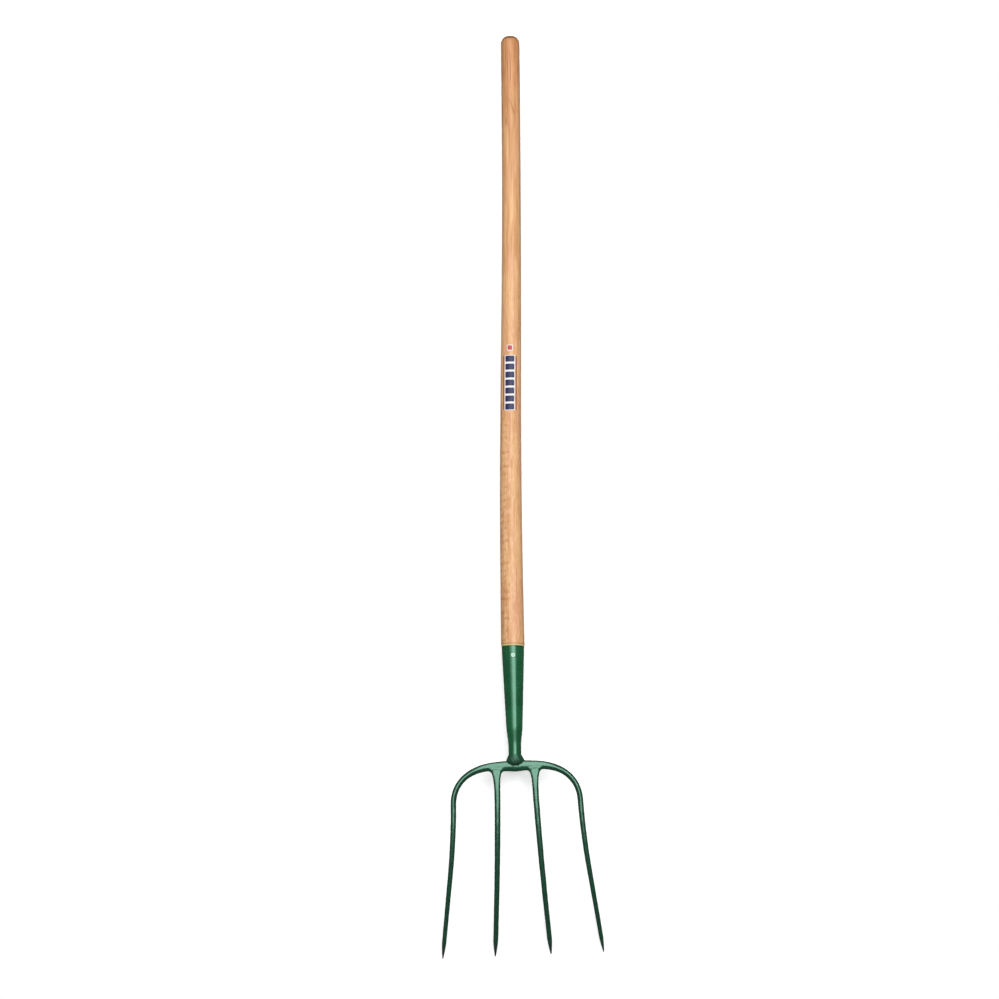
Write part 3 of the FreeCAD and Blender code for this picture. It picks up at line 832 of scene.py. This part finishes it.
def make_weld():
    """A bead round the foot of the neck that flares like a cup, then rounds under onto the crossbar."""
    turns = np.linspace(0, 2 * math.pi, 120, endpoint=False)
    profile = rounded([
        (10.3, -5.0, 0), (11.2, -4.4, 0.5), (15.5, 5.6, 1.6), (13.6, 10.4, 4.0), (8.0, 13.8, 6.0), (0.6, 14.7, 0),
    ], 6)
    rings = []
    for radius, depth in divided(profile, 0.45):
        flare = np.clip((depth + 4.5) / 8.0, 0, 1)
        ripple = np.abs(np.sin(8.5 * turns + 1.2 * np.sin(2 * turns) - 0.24 * depth)) ** 0.7
        swell = 1 + flare * (0.05 * (ripple - 0.62) + 0.012 * np.sin(3 * turns + 0.7) + 0.008 * np.sin(5 * turns + 2.1))
        thick = 1 - 0.17 * flare
        ring = np.stack([
            radius * np.cos(turns) * swell, radius * thick * np.sin(turns) * swell, np.full(turns.shape, depth),
        ], axis=1)
        rings.append(from_head(ring))
    bm = bmesh.new()
    skin(bm, rings)
    return piece("weld_bead", bm, bead_paint, ["neck_weld"], sharp=60)


make_weld()


# ---- label


def rounded_box(s0, s1, z0, z1, radius):
    corners = (
        (s1 - radius, z1 - radius, 0), (s0 + radius, z1 - radius, 90),
        (s0 + radius, z0 + radius, 180), (s1 - radius, z0 + radius, 270),
    )
    made = []
    for x, y, start in corners:
        for turn in range(start, start + 91, 15):
            a = math.radians(turn)
            made.append((x + radius * math.cos(a), y + radius * math.sin(a)))
    return made


def make_film(name, outlines, low, high, ink, stands_for=()):
    """Flat shapes of (round the handle, height) wrapped onto it, from one height above the wood to another."""
    bm = bmesh.new()
    for outline in outlines:
        part = bmesh.new()
        part.faces.new([part.verts.new((s, z, 0)) for s, z in outline])
        ss, zs = [p[0] for p in outline], [p[1] for p in outline]
        for axis, values, step in ((0, ss, 1.5), (1, zs, 6.0)):
            normal = (1, 0, 0) if axis == 0 else (0, 1, 0)
            for k in range(math.ceil(min(values) / step), math.floor(max(values) / step) + 1):
                at = (k * step, 0, 0) if axis == 0 else (0, k * step, 0)
                geometry = part.verts[:] + part.edges[:] + part.faces[:]
                bmesh.ops.bisect_plane(part, geom=geometry, plane_co=at, plane_no=normal, dist=1e-5)
        bmesh.ops.triangulate(part, faces=part.faces[:])
        raised = bmesh.ops.extrude_face_region(part, geom=part.faces[:], use_keep_orig=True)
        for item in raised["geom"]:
            if isinstance(item, bmesh.types.BMVert):
                item.co.z = 1
        mesh = bpy.data.meshes.new("film_part")
        part.to_mesh(mesh)
        part.free()
        bm.from_mesh(mesh)
        bpy.data.meshes.remove(mesh)
    for vert in bm.verts:
        s, z, layer = vert.co
        radius = handle_radius(z)
        rise = radius + low + (high - low) * layer
        vert.co = Vector((handle_centre(z) + rise * math.sin(s / radius), -rise * math.cos(s / radius), z)) * MM
    return piece(name, bm, ink, stands_for, sharp=30)


# How high above the wood the label's films start and end, in millimetres
BASE_FILM, TOP_FILM = (0.01, 0.10), (0.10, 0.15)


def make_label():
    """A plain banded design: a white strip with equal navy blocks, a rule down each side and a red square above."""
    top, centre = TOP - 570.0, -2.2
    count, length, gap, half_width = 7, 10.5, 3.4, 7.8
    side, square_low, square_high = 4.0, top + 10.0, top + 18.0
    edge, rule_at, rule = 1.2, 11.6, 0.8
    bottom = top - count * length - (count - 1) * gap

    def box(half, low, high, radius, at=centre):
        return rounded_box(at - half, at + half, low, high, radius)

    blocks = [box(half_width, z - length, z, 1.6) for z in (top - k * (length + gap) for k in range(count))]
    keyline = [
        box(half_width + edge, bottom - edge, top + edge, 1.8),
        box(side + edge, square_low - edge, square_high + edge, 1.8),
    ]
    rules = [box(rule, bottom, top, 0.7, at) for at in (centre - rule_at, centre + rule_at)]
    square = box(side, square_low, square_high, 1.2)
    make_film("label_keyline", keyline, *BASE_FILM, make_print("ink_white", 244, 243, 248), ["handle_label"])
    make_film("label_blocks", blocks, *TOP_FILM, make_print("ink_navy", 30, 32, 80))
    make_film("label_emblem", [square], *TOP_FILM, make_print("ink_red", 200, 62, 62))
    make_film("label_stripes", rules, *BASE_FILM, make_print("ink_maroon", 112, 26, 40))


make_label()


# ---- stage, lights and camera


def stage_plane(name, corners, finish):
    mesh = bpy.data.meshes.new(name)
    mesh.from_pydata(corners, [], [range(len(corners))])
    mesh.materials.append(finish)
    made = bpy.data.objects.new(name, mesh)
    bpy.context.scene.collection.objects.link(made)
    made.visible_shadow = False
    return made


def make_backdrop_finish(name, glow):
    """Matt white paper that shows on its front only, so that it never hides the fork from behind or below."""
    made = bpy.data.materials.new(name)
    made.use_nodes = True
    tree = made.node_tree
    shader = tree.nodes["Principled BSDF"]
    for socket_name, value in (
        ("Base Color", (0.93, 0.93, 0.93, 1)), ("Roughness", 1.0), ("Specular IOR Level", 0.0),
        ("Emission Color", (1, 1, 1, 1)), ("Emission Strength", glow),
    ):
        shader.inputs[socket_name].default_value = value
    clear = tree.nodes.new("ShaderNodeBsdfTransparent")
    side = tree.nodes.new("ShaderNodeNewGeometry")
    mix = tree.nodes.new("ShaderNodeMixShader")
    tree.links.new(side.outputs["Backfacing"], mix.inputs[0])
    tree.links.new(shader.outputs[0], mix.inputs[1])
    tree.links.new(clear.outputs[0], mix.inputs[2])
    tree.links.new(mix.outputs[0], tree.nodes["Material Output"].inputs[0])
    return made


# The wall leans back a little, close behind the fork, and is only as large as the fork's shadow on it needs.
WALL_TOP_Y, WALL_FOOT_Y = 0.0195, 0.0535
WALL_SIDE, WALL_LOW, WALL_HIGH = 0.36, -1.75, 0.45
FLOOR, FLOOR_SIDE = LOWEST - 0.0005, 7


def wall_y(z):
    return WALL_FOOT_Y - (WALL_FOOT_Y - WALL_TOP_Y) / (TOP * MM - LOWEST) * (z - LOWEST)


AROUND = ((-1, -1), (1, -1), (1, 1), (-1, 1))
wall = stage_plane("wall", [
    (x * WALL_SIDE, wall_y(z), z) for x, z in ((x, WALL_LOW if up < 0 else WALL_HIGH) for x, up in AROUND)
], make_backdrop_finish("wall_paper", 0.44))
floor = stage_plane("floor", [
    (x * FLOOR_SIDE, y * FLOOR_SIDE, FLOOR) for x, y in AROUND
], make_backdrop_finish("floor_paper", 1.2))
for sheet in (wall, floor):
    sheet.visible_glossy = sheet.visible_diffuse = False


def area_light(name, left, right, low, high, y, radiance, towards=1):
    """A softbox in a plane of constant Y, seen from the head between those edges in metres."""
    data = bpy.data.lights.new(name, "AREA")
    data.shape = "RECTANGLE"
    data.size, data.size_y = right - left, high - low
    data.energy = radiance * math.pi * data.size * data.size_y
    made = bpy.data.objects.new(name, data)
    made.location = ((left + right) / 2, y, (low + high) / 2)
    made.rotation_euler = (math.radians(90) * towards, 0, 0)
    made.visible_camera = False
    bpy.context.scene.collection.objects.link(made)
    return made


KEY_LEFT, KEY_SPLIT, KEY_RIGHT = -2.02, -0.74, 1.56
KEY_LOW, KEY_HIGH, KEY_TOP, KEY_Y = -1.45, 0.95, 2.30, -3.5
area_light("key", KEY_SPLIT, KEY_RIGHT, KEY_LOW, KEY_HIGH, KEY_Y, 5.5)
area_light("key_side", KEY_LEFT, KEY_SPLIT, KEY_LOW, KEY_HIGH, KEY_Y, 1.8)
area_light("key_top", KEY_LEFT, KEY_RIGHT, KEY_HIGH, KEY_TOP, KEY_Y, 1.5)
area_light("rear", -1.6, 1.6, -1.0, 1.6, 3.6, 3.4, towards=-1)

# The world is white to the camera and a soft fill for everything else.
world = bpy.data.worlds.new("studio")
bpy.context.scene.world = world
world.use_nodes = True
tree = world.node_tree
rays = tree.nodes.new("ShaderNodeLightPath")
strength = tree.nodes.new("ShaderNodeMapRange")
strength.inputs["To Min"].default_value = 0.19
strength.inputs["To Max"].default_value = 1.0
tree.links.new(rays.outputs["Is Camera Ray"], strength.inputs["Value"])
tree.nodes["Background"].inputs["Color"].default_value = (1, 1, 1, 1)
tree.links.new(strength.outputs[0], tree.nodes["Background"].inputs["Strength"])

ELEVATION, DISTANCE, ROLL = math.radians(-9.0), 5.673, math.radians(0.222)
aim = Vector((-0.0216, 0.0, -0.6649))
back = Vector((0, -math.cos(ELEVATION), math.sin(ELEVATION)))
camera_data = bpy.data.cameras.new("camera")
camera_data.lens = 120.0
camera_data.sensor_width = 36.0
camera = bpy.data.objects.new("camera", camera_data)
camera.location = aim + back * DISTANCE
upright = (-back).to_track_quat("-Z", "Y").to_matrix()
camera.rotation_euler = (upright @ Matrix.Rotation(-ROLL, 3, "Z")).to_euler()
camera_data.clip_start, camera_data.clip_end = 0.1, 60.0
bpy.context.scene.collection.objects.link(camera)
bpy.context.scene.camera = camera
bpy.context.scene.view_settings.view_transform = "Standard"
